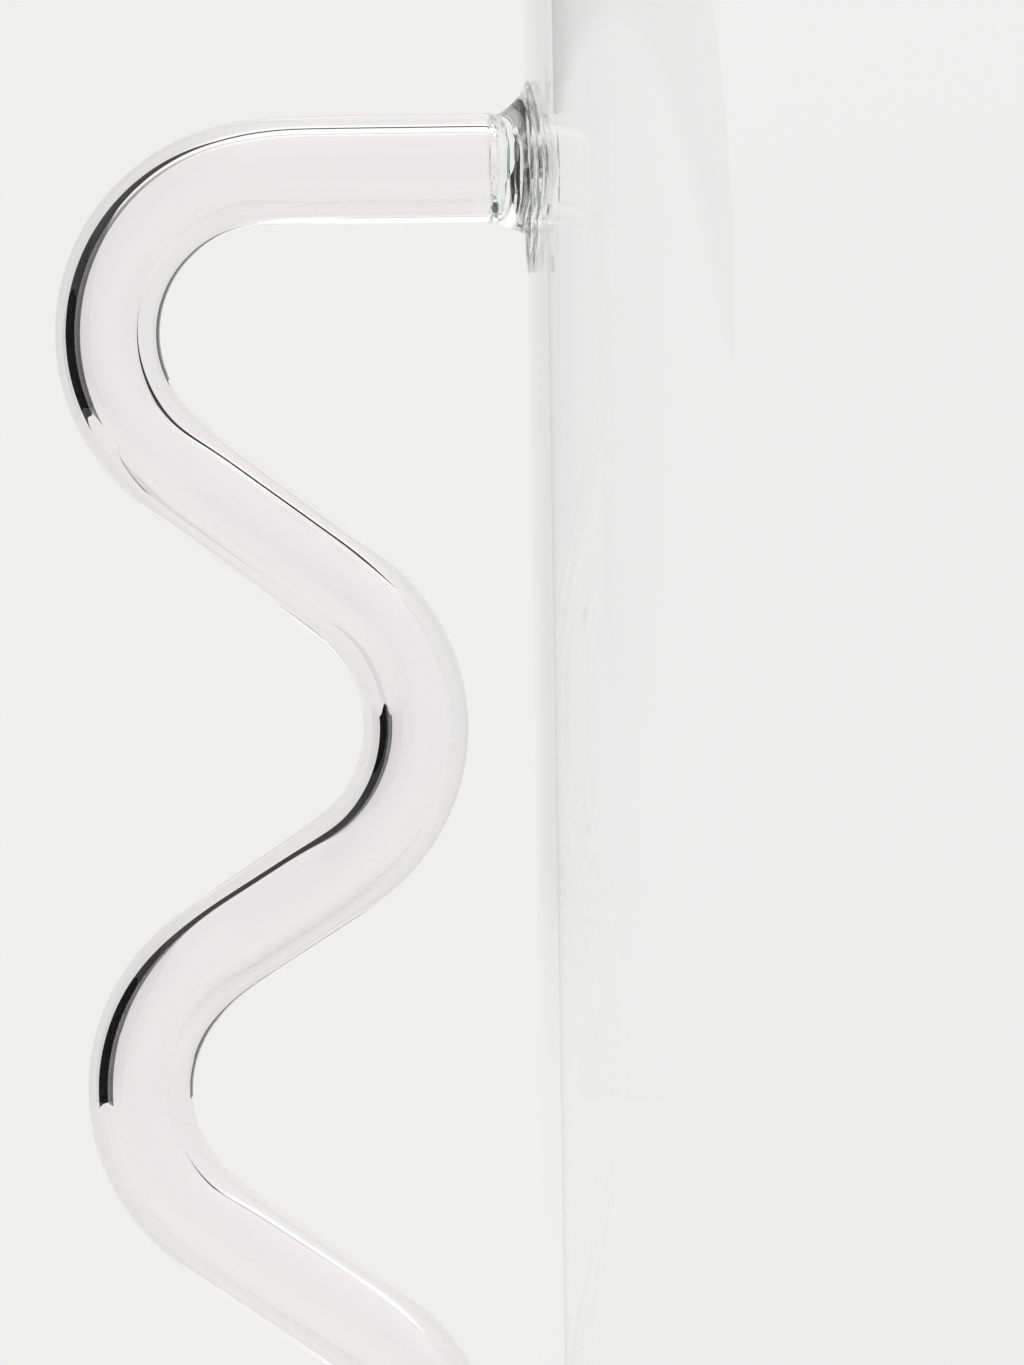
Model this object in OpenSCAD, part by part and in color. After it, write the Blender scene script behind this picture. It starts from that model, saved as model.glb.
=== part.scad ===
// Clear glass jug with a serpentine handle.
//
// A straight borosilicate body with a flat base, a fire-polished rim and a pulled spout.
// The handle is one hollow tube bent into five half-waves. Each end of the tube is closed
// by a domed seal and joined to the body by a flared weld collar.
//
// Origin: centre of the base, on the surface that the jug stands on. +Z is up, the handle
// lies in the XZ plane on the -X side, and the spout points to +X. Millimetres.

/* [Jug body] */
// Outer diameter of the body
body_d = 100; // [80:1:140]
// Height from the table to the rim
body_h = 250; // [200:1:320]
// Thickness of the body's wall
wall = 2.4; // [1.8:0.1:4]
// Thickness of the flat base
base_t = 3.2; // [2.4:0.1:6]
// Outer radius of the rounded heel, between base and wall
heel_r = 8; // [5:0.5:14]

/* [Pouring spout] */
// How far the lip stands out beyond the body at the rim
spout_out = 9; // [6:0.5:14]
// Radius of the spout's trough
spout_r = 15; // [11:0.5:20]
// Lean of the trough away from upright
spout_lean = 25; // [18:1:32]
// How far the lip dips below the rounded edge of the rim
spout_dip = 0.8; // [0.4:0.1:3]

/* [Serpentine handle] */
// Outer diameter of the handle's tube
tube_d = 12; // [9:0.5:15]
// Thickness of the tube's wall, as its mean round the tube
tube_wall = 2.2; // [1.8:0.1:3]
// How far the bore lies towards the outside of each bend, where the glass is drawn thin
bore_shift = 0.2; // [0:0.1:0.7]
// Distance from the rim down to the axis of the upper joint
joint_drop = 26; // [20:1:40]
// Height of the lower joint's axis above the table
joint_rise = 20; // [16:1:36]
// Slope of the tube below level, midway between an outer and an inner bend
run_angle = 31; // [24:1:38]
// Distance from the body to the outermost glass of the first bend
handle_reach = 52.8; // [44:0.2:66]
// Clear slot between the body and the first inner bend
finger_slot = 7; // [5:0.5:12]
// How much nearer to the body each bend lies than the one above it
handle_lean = 1.2; // [0:0.1:1.4]
// How far each bend sags below the even spacing, from the top bend down
bend_sag = [0, 1.8, 0, 0.6, 0];

/* [Welds] */
// Length of a weld collar, from the body's wall to the end of the tube
weld_l = 4; // [3.5:0.5:7]
// Radius of the fillet that flares the collar on to the body
weld_flare = 2.6; // [1.5:0.1:3]
// Distance from the body's wall to the back of the end seal
seal_back = 2.2; // [1.6:0.1:2.4]
// Thickness of the end seal at its edge
seal_t = 0.8; // [0.6:0.1:1]
// Rise of the seal's dome into the tube
seal_dome = 0.4; // [0.2:0.1:0.8]
// Depth of the air pocket caught behind the seal
pocket_t = 1.2; // [0.4:0.1:1.3]
// Width of the ledge round the pocket, on which the seal sits
ledge_w = 0.8; // [0.5:0.1:1.2]

/* [Hidden] */
$fn = 96;

body_r = body_d / 2;
inner_r = body_r - wall;
tube_r = tube_d / 2;
bore_r = tube_r - tube_wall;
past = 1; // how far a cut runs past the surface it opens
bend_draw = 0.05; // how much the glass draws in where the tube is bent
run_lap = 0.3; // how far a straight length laps into the bend that follows it

glass = [0.84, 0.92, 0.92, 0.4];
handle_glass = [0.90, 0.88, 0.89, 0.4];
weld_glass = [0.72, 0.82, 0.80, 0.5];

// Joints and bends of the handle. The five bends share one radius, set so that they and
// the sloping runs between them fill the height from joint to joint.
upper_z = body_h - joint_drop;
lower_z = joint_rise;
last_bend = 4;
bend_gap = (upper_z - lower_z) / (last_bend + cos(run_angle));
bend_r = bend_gap * cos(run_angle) / 2;

// An even bend is an outer one, whose centre lies on its body side; an odd one is an inner bend.
function is_outer(i) = i % 2 == 0;

// Distance from the body's wall to the centre of bend i
function bend_out(i) = is_outer(i)
    ? handle_reach - tube_r - bend_r - i * handle_lean
    : finger_slot + tube_r + bend_r - (i - 1) * handle_lean;

// Centre of bend i, as [x, z]
function bend_centre(i) =
    [-body_r - bend_out(i), upper_z - bend_r - i * bend_gap - bend_sag[i]];

// +1 where the run below bend i heads for the body, -1 where it heads away from it
function run_side(i) = is_outer(i) ? 1 : -1;

// Step from bend i to the next, as [distance along the run's side, drop]
function run_step(i) = let (step = bend_centre(i + 1) - bend_centre(i))
    [run_side(i) * step[0], -step[1]];

// Straight length and slope of the run, the inner tangent of the two bends' circles. The
// glass and the bore have the same bend centres; s is how much wider the bore's bends are.
function run_length(i, s) = sqrt(pow(norm(run_step(i)), 2) - pow(2 * (bend_r + s), 2));
function run_slope(i, s) =
    atan2(run_step(i)[1], run_step(i)[0]) - atan2(2 * (bend_r + s), run_length(i, s));

// Slope of the tube as it enters and as it leaves bend i; it is level at both joints
function slope_in(i, s) = i == 0 ? 0 : run_slope(i - 1, s);
function slope_out(i, s) = i == last_bend ? 0 : run_slope(i, s);

// Spout: height of its lip, centre of the trough there, and a depth that ends inside the body
lip_z = body_h - wall / 2 - spout_dip;
spout_x = body_r + spout_out - spout_r / cos(spout_lean);
spout_l = 60;

// Half outline of a round vessel: radius r, bottom at z0, rounded heel of radius heel
module vessel_outline(r, z0, z1, heel) {
    translate([0, z0 + heel]) square([r, z1 - z0 - heel]);
    translate([0, z0]) square([r - heel, heel + past]);
    translate([r - heel, z0 + heel]) circle(heel);
}

// The body's outer form, with the rim drawn into a half-round edge
module body_outline() {
    vessel_outline(body_r, 0, body_h - wall / 2, heel_r);
    translate([body_r - wall / 2, body_h - wall / 2]) circle(wall / 2);
}

// A leaning round bar that forms the spout's trough, cut off level at the height z1
module spout_bar(r, z1) {
    depth = spout_l * cos(spout_lean);
    intersection() {
        translate([spout_x, 0, lip_z]) rotate([0, spout_lean, 0])
            translate([0, 0, -spout_l]) cylinder(r = r, h = 2 * spout_l);
        translate([-body_r, -body_r, lip_z - depth]) cube([3 * body_r, 2 * body_r, z1 - lip_z + depth]);
    }
}

module body() {
    color(glass) difference() {
        union() {
            rotate_extrude() intersection() {
                body_outline();
                square([body_r, body_h]);
            }
            spout_bar(spout_r, lip_z);
        }
        rotate_extrude() intersection() {
            vessel_outline(inner_r, base_t, body_h + past, heel_r - wall);
            square([inner_r, body_h + past]);
        }
        spout_bar(spout_r - wall, body_h + past);
    }
}

// A bend: part of a ring of glass about its centre, in the XZ plane
module bend(i, r, s) {
    first = is_outer(i) ? 90 + slope_in(i, s) : slope_out(i, s) - 90;
    translate([bend_centre(i)[0], 0, bend_centre(i)[1]])
        rotate([90, 0, 0]) rotate([0, 0, first])
            rotate_extrude(angle = 180 - slope_in(i, s) - slope_out(i, s))
                translate([bend_r + s, 0]) circle(r - bend_draw);
}

// The straight run between bend i and the next, which laps into both
module run(i, r, s) {
    slope = run_slope(i, s);
    start = bend_centre(i) - (bend_r + s) * [run_side(i) * sin(slope), cos(slope)];
    translate([start[0], 0, start[1]])
        rotate([0, run_side(i) * (90 + slope), 0])
            translate([0, 0, -run_lap]) cylinder(r = r, h = run_length(i, s) + 2 * run_lap);
}

// A level length from a weld collar out to bend i, which starts its own end cut at from
module tail(i, z, r, from) {
    at_joint(z) translate([0, 0, from]) cylinder(r = r, h = bend_out(i) + run_lap - from);
}

// The whole serpentine as one solid bar of radius r, with each bend wider by s
module serpentine(r, from, s) {
    tail(0, upper_z + s, r, from);
    for (i = [0 : last_bend]) bend(i, r, s);
    for (i = [0 : last_bend - 1]) run(i, r, s);
    tail(last_bend, lower_z - s, r, from);
}

module handle_tube() {
    color(handle_glass) difference() {
        serpentine(tube_r, weld_l, 0);
        serpentine(bore_r, weld_l - past, bore_shift);
    }
}

// Places a round piece of a joint: its axis runs out along -X from the body's wall
module at_joint(z) {
    translate([-body_r, 0, z]) rotate([0, -90, 0]) children();
}

// Half outline of a collar: the tube's own radius, flared on to the wall by a fillet,
// with a root that reaches in to where the round body falls away
module collar_outline() {
    root_r = tube_r + weld_flare;
    root = body_r - sqrt(pow(body_r, 2) - pow(root_r, 2)) + past;
    difference() {
        union() {
            square([tube_r, weld_l]);
            translate([0, -root]) square([root_r, root + weld_flare]);
        }
        translate([root_r, weld_flare]) circle(weld_flare);
    }
}

// Half outline of the hollow in a collar: the bore down to the seal's ledge, and the
// dished air pocket behind it
module hollow_outline() {
    pocket_r = bore_r - ledge_w;
    dish_r = (pow(pocket_r, 2) + pow(pocket_t, 2)) / (2 * pocket_t);
    translate([0, seal_back]) square([bore_r, weld_l + past - seal_back]);
    intersection() {
        translate([0, seal_back - pocket_t + dish_r]) circle(dish_r);
        translate([0, seal_back - pocket_t]) square([pocket_r, pocket_t]);
    }
}

// The collar at height z; its hollow is centred on the bore, which lies to one side by s
module weld_collar(z, s) {
    color(weld_glass) difference() {
        at_joint(z) rotate_extrude() collar_outline();
        at_joint(z + s) rotate_extrude() hollow_outline();
        translate([0, 0, z - body_r]) cylinder(r = body_r, h = 2 * body_r);
    }
}

// A disc that fills the bore and sits on the collar's ledge, domed where it faces the tube
module end_seal(z) {
    dome_r = (pow(bore_r, 2) + pow(seal_dome, 2)) / (2 * seal_dome);
    color(weld_glass) at_joint(z) rotate_extrude() {
        translate([0, seal_back]) square([bore_r, seal_t]);
        intersection() {
            translate([0, seal_back + seal_t + seal_dome - dome_r]) circle(dome_r);
            translate([0, seal_back + seal_t / 2]) square([bore_r, seal_t / 2 + seal_dome]);
        }
    }
}

module upper_weld_collar() { weld_collar(upper_z, bore_shift); }
module lower_weld_collar() { weld_collar(lower_z, -bore_shift); }
module upper_end_seal() { end_seal(upper_z + bore_shift); }
module lower_end_seal() { end_seal(lower_z - bore_shift); }

body();
handle_tube();
upper_weld_collar();
lower_weld_collar();
upper_end_seal();
lower_end_seal();
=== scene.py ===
import math

import bpy
from mathutils import Matrix, Vector


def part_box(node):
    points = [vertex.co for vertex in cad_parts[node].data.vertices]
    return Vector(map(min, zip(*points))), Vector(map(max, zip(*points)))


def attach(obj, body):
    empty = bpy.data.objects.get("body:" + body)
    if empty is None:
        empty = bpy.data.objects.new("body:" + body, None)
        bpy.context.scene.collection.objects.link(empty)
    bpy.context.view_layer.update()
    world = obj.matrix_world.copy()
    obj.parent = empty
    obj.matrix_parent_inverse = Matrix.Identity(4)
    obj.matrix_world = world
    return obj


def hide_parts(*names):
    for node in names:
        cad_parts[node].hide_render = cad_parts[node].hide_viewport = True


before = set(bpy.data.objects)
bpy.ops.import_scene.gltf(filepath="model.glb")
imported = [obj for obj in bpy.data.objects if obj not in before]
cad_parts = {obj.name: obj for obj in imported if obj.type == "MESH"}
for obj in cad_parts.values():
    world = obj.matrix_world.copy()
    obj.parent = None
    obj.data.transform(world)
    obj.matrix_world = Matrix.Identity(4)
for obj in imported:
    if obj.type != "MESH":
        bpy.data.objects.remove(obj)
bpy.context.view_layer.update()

MM = 0.001


# ---------------------------------------------------------------- camera
# A long lens, level with the second bend of the handle, so that the tube and the wall are
# seen without the perspective that would widen their ends. It is rolled a little.
view_height = 151.7 * MM
camera_distance = 900 * MM
camera_x, camera_z = -52.44 * MM, 166.8 * MM
camera_roll = math.radians(-0.9)
sensor = 36.0

lens_data = bpy.data.cameras.new("camera")
lens_data.sensor_width = sensor
lens_data.lens = sensor * camera_distance / view_height
lens_data.clip_start = 10 * MM
lens_data.clip_end = 60.0
camera = bpy.data.objects.new("camera", lens_data)
bpy.context.scene.collection.objects.link(camera)
camera.matrix_world = (
    Matrix.Translation((camera_x, -camera_distance, camera_z))
    @ Matrix.Rotation(math.radians(90), 4, "X")
    @ Matrix.Rotation(camera_roll, 4, "Z")
)
bpy.context.scene.camera = camera


# ---------------------------------------------------------------- jug body
# A straight length of wide borosilicate tube. Its lower end is closed to a flat base with
# a rounded heel, its rim is melted smooth, and the pouring lip is pulled from the rim.
body_low, body_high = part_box("body")
body_h = body_high[2]
body_r = -body_low[0]
lip_x = body_high[0]
wall = 2.4 * MM
base_t = 3.2 * MM
heel_r = 8 * MM
lip_drop = 26 * MM          # how far below the rim the lip starts to leave the round
lip_dip = 2.0 * MM          # how far the lip's edge lies below the rim
lip_spread = math.radians(27)
hub_r = 2 * MM              # the base and the floor are closed in the middle inside this
body_sides = 512
flat_steps, wall_steps, lip_steps = 12, 24, 26
heel_steps, inner_heel_steps, rim_steps = 24, 20, 16


def smooth_step(low, high, value):
    """0 below low, 1 above high, and an even curve between them."""
    t = min(1.0, max(0.0, (value - low) / (high - low)))
    return t * t * (3 - 2 * t)


def arc(centre, radius, start, end, count):
    """Points of an arc in a plane, from start to end in degrees, both ends included."""
    turns = [math.radians(start + (end - start) * i / count) for i in range(count + 1)]
    return [(centre[0] + radius * math.cos(t), centre[1] + radius * math.sin(t)) for t in turns]


def line(start, end, count):
    """Points from start to end, both left out."""
    return [
        tuple(a + (b - a) * i / (count + 1) for a, b in zip(start, end))
        for i in range(1, count + 1)
    ]


def glass_mesh(name, shells):
    """A smooth mesh of closed shells. A shell is (rings, end, role): its rings are joined one
    to the next, and end says how it closes, 'loop' from the last ring to the first or
    'point' at both ends. role is 'glass', or 'void' for a hollow inside the glass, whose
    faces look inwards."""
    points, faces = [], []
    for rings, end, role in shells:
        first, sides = len(points), len(rings[0])
        shell_points = [Vector(p) for ring in rings for p in ring]
        shell = []
        for i in range(len(rings) if end == "loop" else len(rings) - 1):
            near, far = i * sides, (i + 1) % len(rings) * sides
            for j in range(sides):
                k = (j + 1) % sides
                shell.append((near + j, near + k, far + k, far + j))
        if end == "point":
            for start, turn in ((0, -1), ((len(rings) - 1) * sides, 1)):
                shell_points.append(sum(shell_points[start:start + sides], Vector()) / sides)
                for j in range(sides):
                    edge = (start + j, start + (j + 1) % sides)[::turn]
                    shell.append(edge + (len(shell_points) - 1,))
        volume = 0.0
        for face in shell:
            a, b, c = (shell_points[v] for v in face[:3])
            volume += a.cross(b).dot(c)
            if len(face) == 4:
                volume += a.cross(c).dot(shell_points[face[3]])
        if (volume > 0) != (role == "glass"):
            shell = [face[::-1] for face in shell]
        points += shell_points
        faces += [tuple(first + v for v in face) for face in shell]
    mesh = bpy.data.meshes.new(name)
    mesh.from_pydata([tuple(p) for p in points], [], faces)
    mesh.validate()
    mesh.polygons.foreach_set("use_smooth", [True] * len(mesh.polygons))
    mesh.update()
    piece = bpy.data.objects.new(name, mesh)
    bpy.context.scene.collection.objects.link(piece)
    return piece


def body_profile():
    """The cut edge of the glass as (radius, height), from the middle of the underside, round
    the heel, up the wall, over the rim and down inside to the middle of the floor."""
    heel_x = body_r - heel_r
    inner_r, inner_heel = body_r - wall, heel_r - wall
    inner_x = inner_r - inner_heel
    lip_start, rim_start = body_h - lip_drop, body_h - wall / 2
    outside = [(hub_r, 0.0)] + line((hub_r, 0.0), (heel_x, 0.0), flat_steps)
    outside += arc((heel_x, heel_r), heel_r, -90, 0, heel_steps)
    outside += line((body_r, heel_r), (body_r, lip_start), wall_steps)
    outside += [(body_r, lip_start)]
    outside += line((body_r, lip_start), (body_r, rim_start), lip_steps)
    rim = arc((body_r - wall / 2, rim_start), wall / 2, 0, 180, rim_steps)
    inside = line((inner_r, rim_start), (inner_r, lip_start), lip_steps)
    inside += [(inner_r, lip_start)]
    inside += line((inner_r, lip_start), (inner_r, base_t + inner_heel), wall_steps)
    inside += arc((inner_x, base_t + inner_heel), inner_heel, 0, -90, inner_heel_steps)
    inside += line((inner_x, base_t), (hub_r, base_t), flat_steps)
    inside += [(hub_r, base_t)]
    return outside + rim + inside


def pulled_lip(radius, turn, height):
    """Where a point of the round body goes when the lip is pulled out of the rim. It curls
    out late and dips later still."""
    rise = max(0.0, (height - (body_h - lip_drop)) / lip_drop)
    side = abs(math.remainder(turn, 2 * math.pi)) / lip_spread
    share = math.cos(side * math.pi / 2) ** 2 if side < 1 else 0.0
    out = (lip_x - body_r) * share * rise ** 2.2
    height -= lip_dip * share * rise ** 4
    return ((radius + out) * math.cos(turn), (radius + out) * math.sin(turn), height)


def make_body():
    turns = [2 * math.pi * j / body_sides for j in range(body_sides)]
    rings = [[pulled_lip(r, t, z) for t in turns] for r, z in body_profile()]
    return glass_mesh("jug_body", [(rings, "point", "glass")])


class Wire:
    """A node's output socket. Operators between wires and numbers add Math nodes, and
    node() adds any other kind: its settings first, then the values or links of its sockets."""

    def __init__(self, tree, socket=None):
        self.tree, self.socket = tree, socket

    def node(self, kind, settings=None, inputs=None, out=0):
        made = self.tree.nodes.new(kind)
        for name, value in (settings or {}).items():
            setattr(made, name, value)
        for name, value in (inputs or {}).items():
            if isinstance(value, Wire):
                self.tree.links.new(value.socket, made.inputs[name])
            else:
                made.inputs[name].default_value = value
        return Wire(self.tree, made.outputs[out])

    def maths(self, operation, *values):
        return self.node("ShaderNodeMath", {"operation": operation}, dict(enumerate(values)))

    def vector(self, operation, *values, out=0):
        settings = {"operation": operation}
        return self.node("ShaderNodeVectorMath", settings, dict(enumerate(values)), out)

    def part(self, axis):
        """One of a vector's X, Y and Z."""
        return self.node("ShaderNodeSeparateXYZ", inputs={0: self}, out=axis)

    def __add__(self, other):
        return self.maths("ADD", self, other)

    def __sub__(self, other):
        return self.maths("SUBTRACT", self, other)

    def __rsub__(self, other):
        return self.maths("SUBTRACT", other, self)

    def __mul__(self, other):
        return self.maths("MULTIPLY", self, other)

    __radd__ = __add__
    __rmul__ = __mul__

    def between(self, low, high, ease="SMOOTHSTEP"):
        """0 where this is below low, 1 above high, smooth or LINEAR between."""
        settings = {"interpolation_type": ease}
        inputs = {"Value": self, "From Min": low, "From Max": high}
        return self.node("ShaderNodeMapRange", settings, inputs)

    def mix(self, low, high):
        """A colour: low where this is 0, high where it is 1."""
        inputs = {0: self, 6: low, 7: high}
        return self.node("ShaderNodeMix", {"data_type": "RGBA"}, inputs, out=2)


def clear_glass(name, tint_low, tint_high, wave_scale, wave_stretch, wave_depth, painted_skins=()):
    """Clear borosilicate. The tint drifts a little over the piece, and the surface has the
    faint long waves that drawn and flame-worked glass keeps. A skin paints shade, or with
    metal 1 a painted reflection, on the sides of a hollow. It is a (middle, half widths,
    colour, metal): the sides of a hollow have that colour where they lie inside it, and
    mirror in it where metal is 1."""
    material = bpy.data.materials.new(name)
    material.use_nodes = True
    tree = material.node_tree
    shader = tree.nodes["Principled BSDF"]
    shader.inputs["Transmission Weight"].default_value = 1.0
    shader.inputs["Roughness"].default_value = 0.0
    shader.inputs["IOR"].default_value = 1.473
    start = Wire(tree)
    place = start.node("ShaderNodeTexCoord", out="Object")
    drift = start.node("ShaderNodeTexNoise", inputs={"Vector": place, "Scale": 14.0, "Detail": 2.0})
    tint = drift.between(0.35, 0.65).mix(tint_low, tint_high)
    painted_reflection_share = None
    # Painted shade and painted reflections: inside a skin its colour takes the tint's place, and
    # metal 1 turns it into a black mirror.
    for middle, half_widths, colour, metal in painted_skins:
        scaled = start.vector("DIVIDE", start.vector("SUBTRACT", place, middle), half_widths)
        outside = start.vector("LENGTH", scaled, out="Value").between(0.95, 1.0)
        tint = outside.mix(colour, tint)
        mirror = (1 - outside) * metal
        painted_reflection_share = mirror if painted_reflection_share is None else painted_reflection_share + mirror
    if painted_reflection_share is not None:
        tree.links.new(painted_reflection_share.socket, shader.inputs["Metallic"])
    tree.links.new(tint.socket, shader.inputs["Base Color"])
    along = start.node("ShaderNodeMapping", inputs={"Vector": place, "Scale": wave_stretch})
    waves = start.node(
        "ShaderNodeTexNoise", inputs={"Vector": along, "Scale": wave_scale, "Detail": 1.0}
    )
    relief = start.node(
        "ShaderNodeBump", inputs={"Height": waves, "Distance": wave_depth, "Strength": 1.0}
    )
    tree.links.new(relief.socket, shader.inputs["Normal"])
    return material


body = make_body()
body.data.materials.append(
    clear_glass(
        "body_glass_clear", (0.99, 0.994, 0.992, 1), (0.995, 0.998, 0.997, 1),
        wave_scale=60.0, wave_stretch=(1.0, 1.0, 0.02), wave_depth=0.0003 * MM,
    )
)
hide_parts("body")
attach(body, "root")


# ---------------------------------------------------------------- serpentine handle
# One hollow borosilicate tube bent by hand in a flame into three outer and two inner
# bends. A bend draws the glass thin on its outside, so the bore lies nearer to that side
# and is a little flattened. Each end of the tube is melted into a weld collar.
upper_low, upper_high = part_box("upper_weld_collar")
lower_low, lower_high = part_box("lower_weld_collar")
upper_z = (upper_low[2] + upper_high[2]) / 2
lower_z = (lower_low[2] + lower_high[2]) / 2
weld_l = -body_r - upper_low[0]
weld_lap = 0.03 * MM         # how far pieces that are melted together reach into each other
tube_end = -body_r - weld_l + weld_lap
tube_r = 6.0 * MM
bore_r = 3.8 * MM
bore_shift = 0.2 * MM
bore_spread = 0.6 * MM       # how much wider the flattened bore is across a bend
straight_swell = 0.12 * MM   # how much fuller the unbent ends are
bend_draw = 0.18 * MM        # how much slimmer the bends are
swell_end = 14 * MM          # the ends are full as far as this, from the weld
draw_start = 30 * MM         # and slim from here on
bend_soften = 6 * MM         # the length over which a straight turns into a bend
run_angle = math.radians(31)
handle_reach = 52.8 * MM
finger_slot = 7 * MM         # between the wall and the first inner bend
handle_lean = 1.2 * MM       # how much nearer to the wall each bend is than the one above
bend_sag = [0.0, 1.8 * MM, 0.0, 0.6 * MM, 0.0]  # how low each bend sits in its even share
last_bend = 4
bend_gap = (upper_z - lower_z) / (last_bend + math.cos(run_angle))
bend_r = bend_gap * math.cos(run_angle) / 2
tube_sides = 128
path_step = 0.4 * MM


def bend_centre(i):
    """Centre of bend i as (x, z). Even bends are the outer ones."""
    if i % 2 == 0:
        out = handle_reach - tube_r - bend_r - i * handle_lean
    else:
        out = finger_slot + tube_r + bend_r - (i - 1) * handle_lean
    return (-body_r - out, upper_z - bend_r - i * bend_gap - bend_sag[i])


def run_between(i, radius):
    """Length and slope of the straight run from bend i to the next, for bends of a radius."""
    (x0, z0), (x1, z1) = bend_centre(i), bend_centre(i + 1)
    side = 1 if i % 2 == 0 else -1
    across, drop = side * (x1 - x0), z0 - z1
    length = math.sqrt(across ** 2 + drop ** 2 - 4 * radius ** 2)
    return length, math.atan2(drop, across) - math.atan2(2 * radius, length)


def handle_route(radius):
    """A middle line whose bends have a radius: (length, turn) for each straight and bend."""
    runs = [run_between(i, radius) for i in range(last_bend)]
    route = [(tube_end - bend_centre(0)[0], 0.0)]
    for i in range(last_bend + 1):
        slope_in = runs[i - 1][1] if i > 0 else 0.0
        slope_out = runs[i][1] if i < last_bend else 0.0
        turn = math.pi - slope_in - slope_out
        route.append((turn * radius, turn if i % 2 == 0 else -turn))
        if i < last_bend:
            route.append((runs[i][0], 0.0))
    route.append((tube_end - bend_centre(last_bend)[0], 0.0))
    return route


def turned_by(route, place):
    """How far a route has turned by a place along it."""
    turned = 0.0
    for length, turn in route:
        turned += turn * min(1.0, max(0.0, place / length))
        place -= length
    return turned


def walk_route(radius, soften):
    """Stations along the route as (x, z, heading, bending share). The change from straight
    to bend is softened over a length, and the end is drawn back to where it belongs."""
    route = handle_route(radius)
    total = sum(length for length, _ in route)
    count = int(total / path_step)
    size = total / count
    turns = [turned_by(route, i * size) for i in range(count + 1)]
    raw = [(after - before) / size for before, after in zip(turns, turns[1:])]
    reach = max(1, int(soften / size))
    weights = [(k, math.cos(k / (reach + 1) * math.pi / 2) ** 2) for k in range(-reach, reach + 1)]
    smooth = []
    for i in range(count):
        near = [(w, raw[i + k]) for k, w in weights if 0 <= i + k < count]
        smooth.append(sum(w * c for w, c in near) / sum(w for w, _ in near))
    fix = (sum(raw) - sum(smooth)) / count
    wider = radius - bend_r
    x, z, heading = tube_end, upper_z + wider, math.pi
    stations = [(x, z, heading, 0.0)]
    for bend in smooth:
        bend += fix
        x += size * math.cos(heading + bend * size / 2)
        z += size * math.sin(heading + bend * size / 2)
        heading += bend * size
        stations.append((x, z, heading, min(1.0, abs(bend) * radius)))
    miss_x, miss_z = tube_end - x, lower_z - wider - z
    return [
        (x + miss_x * i / count, z + miss_z * i / count, heading, share)
        for i, (x, z, heading, share) in enumerate(stations)
    ]


def tube_ring(station, in_plane, across_plane):
    """A ring of points about one station: its half widths in and across the handle's plane."""
    x, z, heading, _ = station
    side = Vector((math.sin(heading), 0, -math.cos(heading)))
    depth = Vector((0, 1, 0))
    turns = [2 * math.pi * j / tube_sides for j in range(tube_sides)]
    return [
        Vector((x, 0, z)) + in_plane * math.cos(t) * side + across_plane * math.sin(t) * depth
        for t in turns
    ]


def make_handle():
    outer, inner = [], []
    stations = walk_route(bend_r, bend_soften)
    for i, station in enumerate(stations):
        from_end = min(i, len(stations) - 1 - i) * path_step
        bent = smooth_step(swell_end, draw_start, from_end)
        radius = tube_r + straight_swell * (1 - bent) - bend_draw * bent
        outer.append(tube_ring(station, radius, radius))
    for station in walk_route(bend_r + bore_shift, bend_soften):
        inner.append(tube_ring(station, bore_r, bore_r + bore_spread * station[3]))
    return glass_mesh("handle_tube_bent", [(outer + inner[::-1], "loop", "glass")])


handle = make_handle()
handle.data.materials.append(
    clear_glass(
        "handle_glass_clear", (0.966, 0.953, 0.959, 1), (0.974, 0.962, 0.967, 1),
        wave_scale=30.0, wave_stretch=(1.0, 1.0, 1.0), wave_depth=0.0008 * MM,
    )
)
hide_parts("handle_tube")
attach(handle, "root")


# ---------------------------------------------------------------- weld collars
# Rings of glass melted in the flame at the two ends of the handle. Each takes the tube's
# end and spreads on to the round wall, in a flare above the tube and a longer sag below it.
# A lens of air is caught between the collar and the wall, and a bubble under the bore.
collar_sides = 192
mouth_r = tube_r + straight_swell
foot_radii = [0.1 * MM, 1.5 * MM, 3.0 * MM, 4.5 * MM, 6.0 * MM, 7.5 * MM, 9.0 * MM]
foot_spread = [              # (sine of the turn, spread in mm), from the underside up
    (-1.0, 5.6), (-0.5, 1.4), (0.2, 0.9), (0.6, 1.6), (1.0, 3.5),
]
fillet_side, fillet_top = 1.0 * MM, 1.7 * MM    # its height at the sides, and more on top
sag_height, sag_width, sag_foot = 3.2 * MM, 1.2 * MM, 0.55 * MM
ripple_depth, ripple_height, ripple_band = 0.035 * MM, 3.3 * MM, 0.7 * MM
ripple_pitch = 0.21 * MM
neck_depth = 0.12 * MM       # how far the collar draws in between the flare and the tube
pocket_r = 3.0 * MM          # the air pocket between the end seal and the wall
pocket_floor = 1.65 * MM
pocket_dish = 0.45 * MM
seal_near, seal_far = 2.1 * MM, 3.0 * MM
flare_steps, rise_steps, bore_steps, pocket_steps = 40, 12, 12, 11
foot_sunk = 6                # how many steps of the flare sink into the wall
bubble_middle = (3.25 * MM, -2.2 * MM, -4.0 * MM)
bubble_half = (0.55 * MM, 0.6 * MM, 0.85 * MM)


def wall_fall(y):
    """How far the round wall has fallen back, at a distance y to the side."""
    return body_r - math.sqrt(body_r ** 2 - y ** 2)


def collar_point(height, y, rise, middle_z):
    """A point of a collar at a height above the wall; the foot follows the round wall."""
    foot = 1 - smooth_step(0.3 * weld_l, weld_l, height)
    return (-body_r - height + foot * wall_fall(y), y, middle_z + rise)


def foot_reach(turn):
    """How far the flare spreads beyond the tube."""
    for (low, near), (high, far) in zip(foot_spread, foot_spread[1:]):
        if math.sin(turn) <= high:
            return (near + (far - near) * smooth_step(low, high, math.sin(turn))) * MM
    return foot_spread[-1][1] * MM


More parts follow.
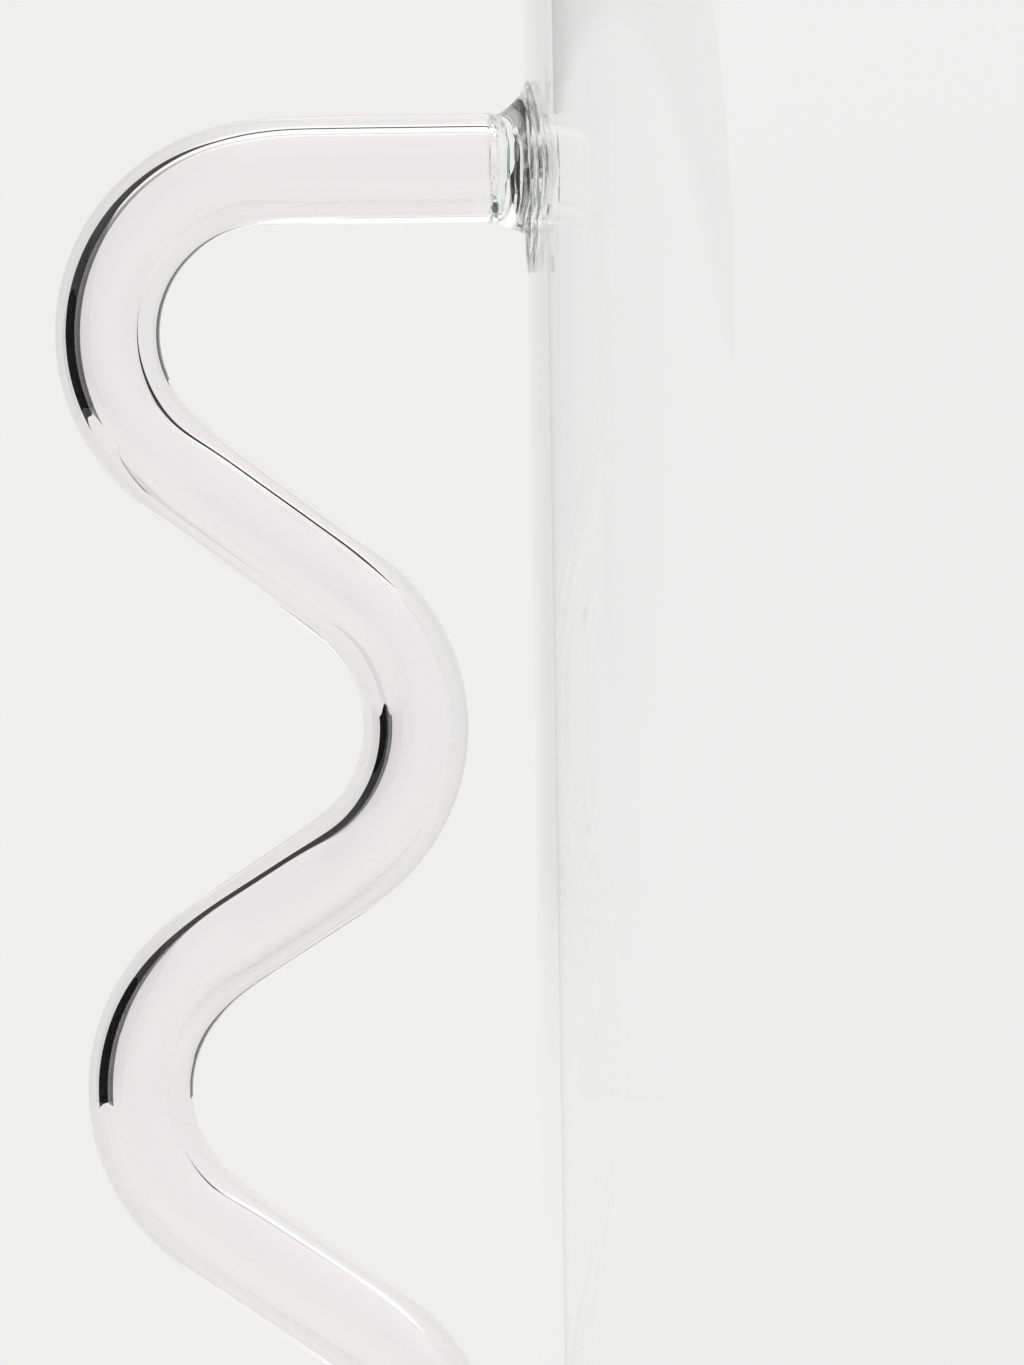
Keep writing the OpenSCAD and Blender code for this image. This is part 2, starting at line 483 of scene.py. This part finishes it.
def flare_profile(share, turn):
    """The flare's edge as (distance out from the tube's side, height above the wall), from
    share 0 at the tube to 1 at the foot. Its underside sags, and the rest is a fillet."""
    low = smooth_step(0.3, -0.9, math.sin(turn))
    spread = share ** 1.7
    out = foot_reach(turn) * spread
    fillet = fillet_side + fillet_top * smooth_step(0.3, 0.95, math.sin(turn))
    steep = max(0.0, 1 - out / sag_width)
    sag = sag_height * steep ** 1.15 + sag_foot * (1 - spread)
    return out, fillet * (1 - spread) ** 1.8 * (1 - low) + sag * low


def ripple(turn, height):
    """The small waves that the flame left round the weld, strongest where the tube ends."""
    strength = ripple_depth * math.exp(-((height - ripple_height) / ripple_band) ** 2)
    waves = math.sin(13 * turn + 2.1) + 0.7 * math.sin(29 * turn + height / ripple_pitch)
    return strength * waves


def bubble_rings(middle, half_widths, turns, steps=24):
    """Rings of a bubble of air about its middle, as (height, y, rise)."""
    rings = []
    for i in range(1, steps):
        angle = math.pi * i / steps
        rings.append([(
            middle[0] + half_widths[0] * math.cos(angle),
            middle[1] + half_widths[1] * math.sin(angle) * math.cos(t),
            middle[2] + half_widths[2] * math.sin(angle) * math.sin(t),
        ) for t in turns])
    return rings


lens_half_y = 4.6 * MM
lens_ridge = 2.9 * MM        # half the height of the ridge that the middle of the lens makes
lens_round = 0.85 * MM       # how much further its rounded ends reach
lens_lean = 0.01
lens_roof = [                # (share of the way out, height above the wall in mm)
    (0.02, 1.1), (0.3, 0.84), (0.36, 0.79), (0.6, 0.67), (0.66, 0.62), (0.96, 0.24), (1.0, 0.18),
]
lens_flat = [(1.0, 0.12), (0.02, 0.08)]
roof_steps, lens_flat_steps = 6, 10


def lens_rings(turns):
    """Rings of the lens of air: a low roof towards the tube, and a flat towards the wall."""
    levels = []
    for (near, high), (far, low) in zip(lens_roof, lens_roof[1:]):
        for i in range(roof_steps):
            part = i / roof_steps
            levels.append((near + (far - near) * part, high + (low - high) * part))
    levels.append(lens_roof[-1])
    levels += [lens_flat[0]] + line(*lens_flat, lens_flat_steps - 1) + [lens_flat[1]]
    rings = []
    for share, height in levels:
        ring = []
        for t in turns:
            rise = math.sin(t) * (lens_ridge + lens_round * share)
            tip = 1 - 0.25 * (rise / (lens_ridge + lens_round)) ** 4
            away = height * MM * tip - lens_lean * rise
            ring.append((away, lens_half_y * share * math.cos(t), rise))
        rings.append(ring)
    return rings


def round_ring(height, radius, middle_z, sides):
    """A level ring on the wall, about the handle's middle line."""
    turns = [2 * math.pi * j / sides for j in range(sides)]
    return [
        collar_point(height, radius * math.cos(t), radius * math.sin(t), middle_z) for t in turns
    ]


def make_collar(name, joint_z, bore_z):
    turns = [2 * math.pi * j / collar_sides for j in range(collar_sides)]
    rings = [round_ring(-weld_lap, radius, joint_z, collar_sides) for radius in foot_radii]
    for i in range(flare_steps + 1):
        ring = []
        for t in turns:
            out, height = flare_profile(1 - i / flare_steps, t)
            height -= weld_lap * smooth_step(foot_sunk, 0, i)
            radius = mouth_r + out
            ring.append(collar_point(height, radius * math.cos(t), radius * math.sin(t), joint_z))
        rings.append(ring)
    for i in range(1, rise_steps + 1):
        ring = []
        for t in turns:
            start = flare_profile(0, t)[1]
            height = start + (weld_l - start) * i / rise_steps
            neck = neck_depth * math.sin(math.pi * i / rise_steps) ** 2
            radius = mouth_r - neck + ripple(t, height) * (1 - (i / rise_steps) ** 8)
            ring.append(collar_point(height, radius * math.cos(t), radius * math.sin(t), joint_z))
        rings.append(ring)
    for i in range(bore_steps + 1):
        height = weld_l + (seal_near - weld_l) * i / bore_steps
        rings.append(round_ring(height, bore_r, bore_z, collar_sides))
    rings.append(round_ring(seal_near, pocket_r, bore_z, collar_sides))
    for i in range(pocket_steps):
        angle = math.pi / 2 * (1 - i / pocket_steps)
        height = pocket_floor + pocket_dish * (1 - math.cos(angle)) ** 2
        rings.append(round_ring(height, pocket_r * math.sin(angle), bore_z, collar_sides))
    shells = [(rings, "point", "glass")]
    for hollow in (lens_rings(turns), bubble_rings(bubble_middle, bubble_half, turns)):
        placed = [[collar_point(*p, joint_z) for p in ring] for ring in hollow]
        shells.append((placed, "point", "void"))
    return glass_mesh(name, shells)


# Painted reflection and painted shade on the weld's hollows: two thin black crescents across
# the lens of air are painted reflections that stand in for the dark side of the room mirrored
# there, and the bubble's dark bottle green is painted shade. Each is a skin on the hollow's sides.
painted_crescents = [                # (middle, half widths), as height, y and rise
    ((0.9 * MM, 0.0, 0.35 * MM), (0.28 * MM, 4.8 * MM, 3.6 * MM)),
    ((0.38 * MM, 0.0, -0.35 * MM), (0.24 * MM, 4.8 * MM, 3.9 * MM)),
]
# Painted reflection black for the crescents, and painted shade green for the bubble.
painted_reflection_black = (0.004, 0.006, 0.005, 1)
bubble_painted_shade = (0.10, 0.16, 0.13, 1)
bubble_cover = tuple(half + 0.2 * MM for half in bubble_half)
painted_skins = []
for joint_z in (upper_z, lower_z):
    for middle, half_widths in painted_crescents:
        place = (-body_r - middle[0], middle[1], joint_z + middle[2])
        painted_skins.append((place, half_widths, painted_reflection_black, 1.0))
    place = (-body_r - bubble_middle[0], bubble_middle[1], joint_z + bubble_middle[2])
    painted_skins.append((place, bubble_cover, bubble_painted_shade, 0.0))
weld_glass = clear_glass(
    "weld_glass_clear_painted_shade", (0.985, 0.99, 0.987, 1), (0.99, 0.995, 0.992, 1),
    wave_scale=160.0, wave_stretch=(1.0, 1.0, 1.0), wave_depth=0.0006 * MM, painted_skins=painted_skins,
)
for name, node, joint_z, shift in (
    ("upper_collar_flared", "upper_weld_collar", upper_z, bore_shift),
    ("lower_collar_flared", "lower_weld_collar", lower_z, -bore_shift),
):
    collar = make_collar(name, joint_z, joint_z + shift)
    collar.data.materials.append(weld_glass)
    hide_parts(node)
    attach(collar, "root")


# ---------------------------------------------------------------- end seals
# Thin discs of glass that close the tube's bore on the ledges in the collars. They were
# drawn flat in the flame, so they are thin in the middle and thick where they melted in.
seal_sides = 96
seal_steps = 18
seal_rise = 0.35 * MM        # how much further from the wall its far side is at the edge
seal_sink = 0.15 * MM        # and how much nearer in the middle
seal_crown = 0.3 * MM        # how far the side towards the wall is drawn in


def make_seal(name, bore_z):
    edge_r = bore_r + weld_lap
    rings = []
    for i in range(1, seal_steps + 1):
        share = i / seal_steps
        height = seal_far - seal_sink + (seal_sink + seal_rise) * share ** 3
        rings.append(round_ring(height, 0.999 * edge_r * share, bore_z, seal_sides))
    rings.append(round_ring(seal_far + seal_rise, edge_r, bore_z, seal_sides))
    rings.append(round_ring(seal_near - weld_lap, edge_r, bore_z, seal_sides))
    for i in range(seal_steps, 0, -1):
        share = i / seal_steps
        height = seal_near - weld_lap + seal_crown * (1 - share ** 2)
        rings.append(round_ring(height, 0.999 * edge_r * share, bore_z, seal_sides))
    return glass_mesh(name, [(rings, "point", "glass")])


for name, node, bore_z in (
    ("upper_seal_dished", "upper_end_seal", upper_z + bore_shift),
    ("lower_seal_dished", "lower_end_seal", lower_z - bore_shift),
):
    seal = make_seal(name, bore_z)
    seal.data.materials.append(weld_glass)
    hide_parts(node)
    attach(seal, "root")


# ---------------------------------------------------------------- floor and sky
# A pale seamless studio: a matt floor that takes the jug's shadow and fades into a glowing
# backdrop of the same grey, under an even bright sky that is a little dim at its left.
sky_level = 0.863
backdrop_grey = (0.863, 0.863, 0.855, 1)
floor_matt = (0.86, 0.86, 0.853, 1)
sky_tint = (1, 1, 0.992, 1)
floor_radius = 6.0
floor_sides = 96
glow_start, glow_full = 0.3, 0.9    # where the matt floor turns into the backdrop
dim_start = 1.5


def studio_mesh(name, points, faces):
    mesh = bpy.data.meshes.new(name)
    mesh.from_pydata([tuple(p) for p in points], [], faces)
    mesh.update()
    piece = bpy.data.objects.new(name, mesh)
    bpy.context.scene.collection.objects.link(piece)
    return piece


def stage_paint(name):
    """A material with nothing in it yet, as (material, its output's surface, a wire)."""
    material = bpy.data.materials.new(name)
    material.use_nodes = True
    tree = material.node_tree
    tree.nodes.remove(tree.nodes["Principled BSDF"])
    return material, tree.nodes["Material Output"].inputs["Surface"], Wire(tree)


def left_dim(direction):
    """How much dimmer the studio is in a direction: towards the left and behind it is dim,
    straight to the left and everywhere in front it isn't."""
    x = direction.part("X")
    behind = direction.part("Y").between(0.0, 0.3)
    return (0 - x).between(0.0, 0.43, "LINEAR") * x.between(-0.99, -0.9) * behind


def floor_paint():
    material, surface, start = stage_paint("studio_floor_paint")
    place = start.node("ShaderNodeTexCoord", out="Object")
    away = start.vector("LENGTH", place, out="Value")
    seen = start.node("ShaderNodeLightPath", out="Is Camera Ray")
    far = away.between(dim_start, floor_radius, "LINEAR")
    dim = (1 - seen) * left_dim(start.vector("NORMALIZE", place)) * far * 0.12
    matte = start.node("ShaderNodeBsdfDiffuse", inputs={"Color": floor_matt})
    glow = start.node("ShaderNodeEmission", inputs={"Color": dim.mix(backdrop_grey, (0, 0, 0, 1))})
    glowing = away.between(glow_start, glow_full)
    blend = start.node("ShaderNodeMixShader", inputs={0: glowing, 1: matte, 2: glow})
    start.tree.links.new(blend.socket, surface)
    return material


floor_edge = []
for side in range(floor_sides):
    turn = 2 * math.pi * side / floor_sides
    floor_edge.append((floor_radius * math.cos(turn), floor_radius * math.sin(turn), -0.3 * MM))
floor = studio_mesh("studio_floor", floor_edge, [tuple(range(floor_sides))])
floor.data.materials.append(floor_paint())


def studio_world():
    """To the camera the sky is one grey. To the glass it is brighter overhead."""
    world = bpy.data.worlds.new("studio_world")
    bpy.context.scene.world = world
    world.use_nodes = True
    tree = world.node_tree
    background = tree.nodes["Background"]
    start = Wire(tree)
    direction = start.node("ShaderNodeTexCoord", out="Generated")
    z = direction.part("Z")
    overhead = z.between(0.0, 0.5, "LINEAR") * 0.03 + z.between(0.5, 0.62) * 0.24
    lit = sky_level + overhead - left_dim(direction) * 0.11
    seen = start.node("ShaderNodeLightPath", out="Is Camera Ray")
    strength = seen * sky_level + (1 - seen) * lit
    tree.links.new(strength.socket, background.inputs["Strength"])
    background.inputs["Color"].default_value = sky_tint


studio_world()


# ---------------------------------------------------------------- flags
# Hidden glowing sheets round the back and the left of the handle. They stand in for the
# studio's black cloths and draw the handle's dark lines as painted reflections: black only
# to light that comes from the handle, and glowing pale to the rest. A big one narrows to a
# ribbon over the top and down on the right, and a small one close to the third bend
# carries its line further down.
flag_centre = Vector((-95 * MM, 0, 165 * MM))
flag_radius = 230 * MM
flag_bottom = 152 * MM       # at the inner edge of the left part
flag_slant = 30 * MM         # how much lower the bottom edge is further out
inner_edge = 28              # where the left part starts, in degrees off straight behind
side_edge = 125              # how far round it reaches
ribbon_off = 58.5            # where the ribbon's middle is
ribbon_half, ribbon_more = 2.3, 3.4     # its half width, and more where it is broadest
ribbon_broad, broad_span = 145, 20      # at this turn, and about this far to either side
ribbon_turn = 88             # turn at which the left part has narrowed to the ribbon
ribbon_taper = 6             # how much the outer edge comes in before that
side_full, side_gone = 30, 62           # turns between which the side of the left part ends
turn_steps, off_steps = 120, 20


def hidden(sheet):
    """Keeps a sheet from the camera and from the light that falls on matt things."""
    sheet.visible_camera = False
    sheet.visible_shadow = False
    sheet.visible_diffuse = False
    return sheet


def curved_sheet(name, centre, columns):
    """A hidden sheet from one list of (off, radius, turn) for each step along it. Off is the
    angle from straight behind, and turn the angle from the left over the top."""
    points, faces = [], []
    for column in columns:
        for off, radius, turn in column:
            points.append(centre + radius * Vector((
                -math.sin(off) * math.cos(turn), math.cos(off), math.sin(off) * math.sin(turn)
            )))
    across = len(columns[0])
    for i in range(len(columns) - 1):
        for k in range(across - 1):
            a = i * across + k
            faces.append((a, a + 1, a + across + 1, a + across))
    return hidden(studio_mesh(name, points, faces))


def flag_edges(turn):
    """The flag's two edges in degrees off straight behind, at a turn in degrees."""
    half = ribbon_half + ribbon_more * math.exp(-((turn - ribbon_broad) / broad_span) ** 2)
    share = min(1.0, turn / ribbon_turn)
    inner = inner_edge + (ribbon_off - half - inner_edge) * share ** 2.2
    outer = ribbon_off + half + ribbon_taper * (1 - smooth_step(50, ribbon_turn, turn))
    return inner, outer + (side_edge - outer) * (1 - smooth_step(side_full, side_gone, turn))


def make_flag():
    columns = []
    for i in range(turn_steps + 1):
        inner, outer = flag_edges(180 * i / turn_steps)
        column = []
        for k in range(off_steps + 1):
            degrees = inner + (outer - inner) * k / off_steps
            off = math.radians(degrees)
            bottom = flag_bottom - flag_slant * smooth_step(inner_edge, 65, degrees)
            lowest = math.asin((bottom - flag_centre.z) / (flag_radius * math.sin(off)))
            column.append((off, flag_radius, lowest + (math.pi - lowest) * i / turn_steps))
        columns.append(column)
    return curved_sheet("painted_lines_flag", flag_centre, columns)


near_centre = Vector((-98 * MM, 0, 119 * MM))
near_radius = 60 * MM
near_low, near_high = -3.5 * MM, 33 * MM
near_rises, near_sides = 20, 30


def make_near_flag():
    columns = []
    for step in range(near_rises + 1):
        rise = near_low + (near_high - near_low) * step / near_rises
        column = []
        for k in range(near_sides + 1):
            azimuth = math.radians(inner_edge + (side_edge - inner_edge) * k / near_sides)
            back, left = near_radius * math.cos(azimuth), near_radius * math.sin(azimuth)
            off = math.atan2(math.hypot(left, rise), back)
            column.append((off, math.hypot(near_radius, rise), math.atan2(rise, left)))
        columns.append(column)
    return curved_sheet("near_flag", near_centre, columns)


near_wall = 5 * MM           # a flag measures to points this far to the left of the wall
rim_level = 225 * MM         # the highest of them
bend_level = 160 * MM        # and the highest for light reflected inside the tube
right_reach = 0.19           # the right of a flag is never nearer than this to the handle
reach_blur = 0.003


def at_least(counted, number):
    """1 where a light path has counted that many, else 0."""
    return counted.between(number - 0.6, number - 0.4)


def painted_reflection_cloth(name, least_reach, wall_share, mirror_x, pale_low, pale_high):
    """A glowing sheet that paints reflections: black to the handle, which draws its dark lines,
    and glowing as pale as the studio, or a little dimmer where it is seen mirrored, to all
    the rest. The handle is told by how near it is: nearer than the jug's wall, and than a
    least reach. It is also told by what the light has done in it, because light from the
    tube has crossed two or four surfaces and has been reflected once at most."""
    material, surface, start = stage_paint(name)
    place = start.node("ShaderNodeTexCoord", out="Object")
    x, z = place.part("X"), place.part("Z")
    away = start.node("ShaderNodeLightPath", out="Ray Length")
    reflections = start.node("ShaderNodeLightPath", out="Glossy Depth")
    crossings = start.node("ShaderNodeLightPath", out="Transmission Depth")
    reflected, crossed = at_least(reflections, 1), at_least(crossings, 1)

    highest = rim_level - reflected * crossed * (rim_level - bend_level)
    wall_point = start.node(
        "ShaderNodeCombineXYZ",
        inputs={0: -body_r - near_wall, 1: 0.0, 2: start.maths("MINIMUM", z, highest)},
    )
    to_wall = start.vector("DISTANCE", place, wall_point, out="Value")
    reach = start.maths("MAXIMUM", to_wall * wall_share, least_reach)
    from_further = (away - reach).between(0.0, reach_blur)
    on_right = x.between(0.0, 0.01)
    from_right_wall = on_right * (right_reach - away).between(0.0, reach_blur)
    through_jug = at_least(crossings, 5)
    in_wall = reflected * at_least(crossings, 4)
    twice = at_least(reflections, 2) - at_least(reflections, 3)
    off_outside = (1 - crossed) * (x - mirror_x).between(0.0, 0.001)
    others = from_further + from_right_wall + through_jug + in_wall + twice + off_outside

    pale = pale_low + z.between(0.15, 0.25, "LINEAR") * (pale_high - pale_low)
    in_mirror = reflected * (1 - through_jug)
    shade = sky_level - in_mirror * (sky_level - pale)
    # Painted reflections: the sheet glows this light, black to the handle's light and pale to the
    # rest.
    light = others.between(0.0, 1.0, "LINEAR") * shade
    glow = start.node("ShaderNodeEmission", inputs={"Color": light})
    start.tree.links.new(glow.socket, surface)
    return material


flag = make_flag()
flag.data.materials.append(
    painted_reflection_cloth("flag_painted_dark_lines", 0.25, 1.0, mirror_x=-0.302, pale_low=0.75, pale_high=0.66)
)

near_flag = make_near_flag()
near_flag.data.materials.append(
    painted_reflection_cloth("near_flag_painted_dark_lines", 0.073, 0.0, mirror_x=-0.1545, pale_low=0.75, pale_high=0.75)
)


# ---------------------------------------------------------------- echo shade
# A clear sheet just behind the handle, which paints shade into its dark lines: it stops
# only the light that the wall of the tube has reflected three times, close by, which would
# fog them.
shade_left, shade_right, shade_low, shade_high = -113 * MM, -56 * MM, 14 * MM, 236 * MM
shade_back = 8 * MM
shade_density = 0.85
shade_reach = 0.03


def echo_cloth():
    material, surface, start = stage_paint("echo_shade_clear")
    reflections = start.node("ShaderNodeLightPath", out="Glossy Depth")
    away = start.node("ShaderNodeLightPath", out="Ray Length")
    third = at_least(reflections, 3) - at_least(reflections, 4)
    close = 1 - away.between(shade_reach, shade_reach + 0.001)
    clear = start.node("ShaderNodeBsdfTransparent")
    # Painted shade: black to light reflected three times close by inside the tube.
    black = start.node("ShaderNodeEmission", inputs={"Strength": 0.0})
    share = third * close * shade_density
    blend = start.node("ShaderNodeMixShader", inputs={0: share, 1: clear, 2: black})
    start.tree.links.new(blend.socket, surface)
    return material


shade_corners = [
    (shade_left, shade_back, shade_low), (shade_right, shade_back, shade_low),
    (shade_right, shade_back, shade_high), (shade_left, shade_back, shade_high),
]
echo_shade = hidden(studio_mesh("echo_shade", shade_corners, [(0, 1, 2, 3)]))
echo_shade.data.materials.append(echo_cloth())


# ---------------------------------------------------------------- view
# Plain view settings, and bounces enough for the light that runs along inside the wall.
scene = bpy.context.scene
scene.view_settings.view_transform = "Standard"
light_bounces = 96
scene.cycles.max_bounces = light_bounces
scene.cycles.transmission_bounces = light_bounces
scene.cycles.glossy_bounces = light_bounces
scene.cycles.transparent_max_bounces = 16
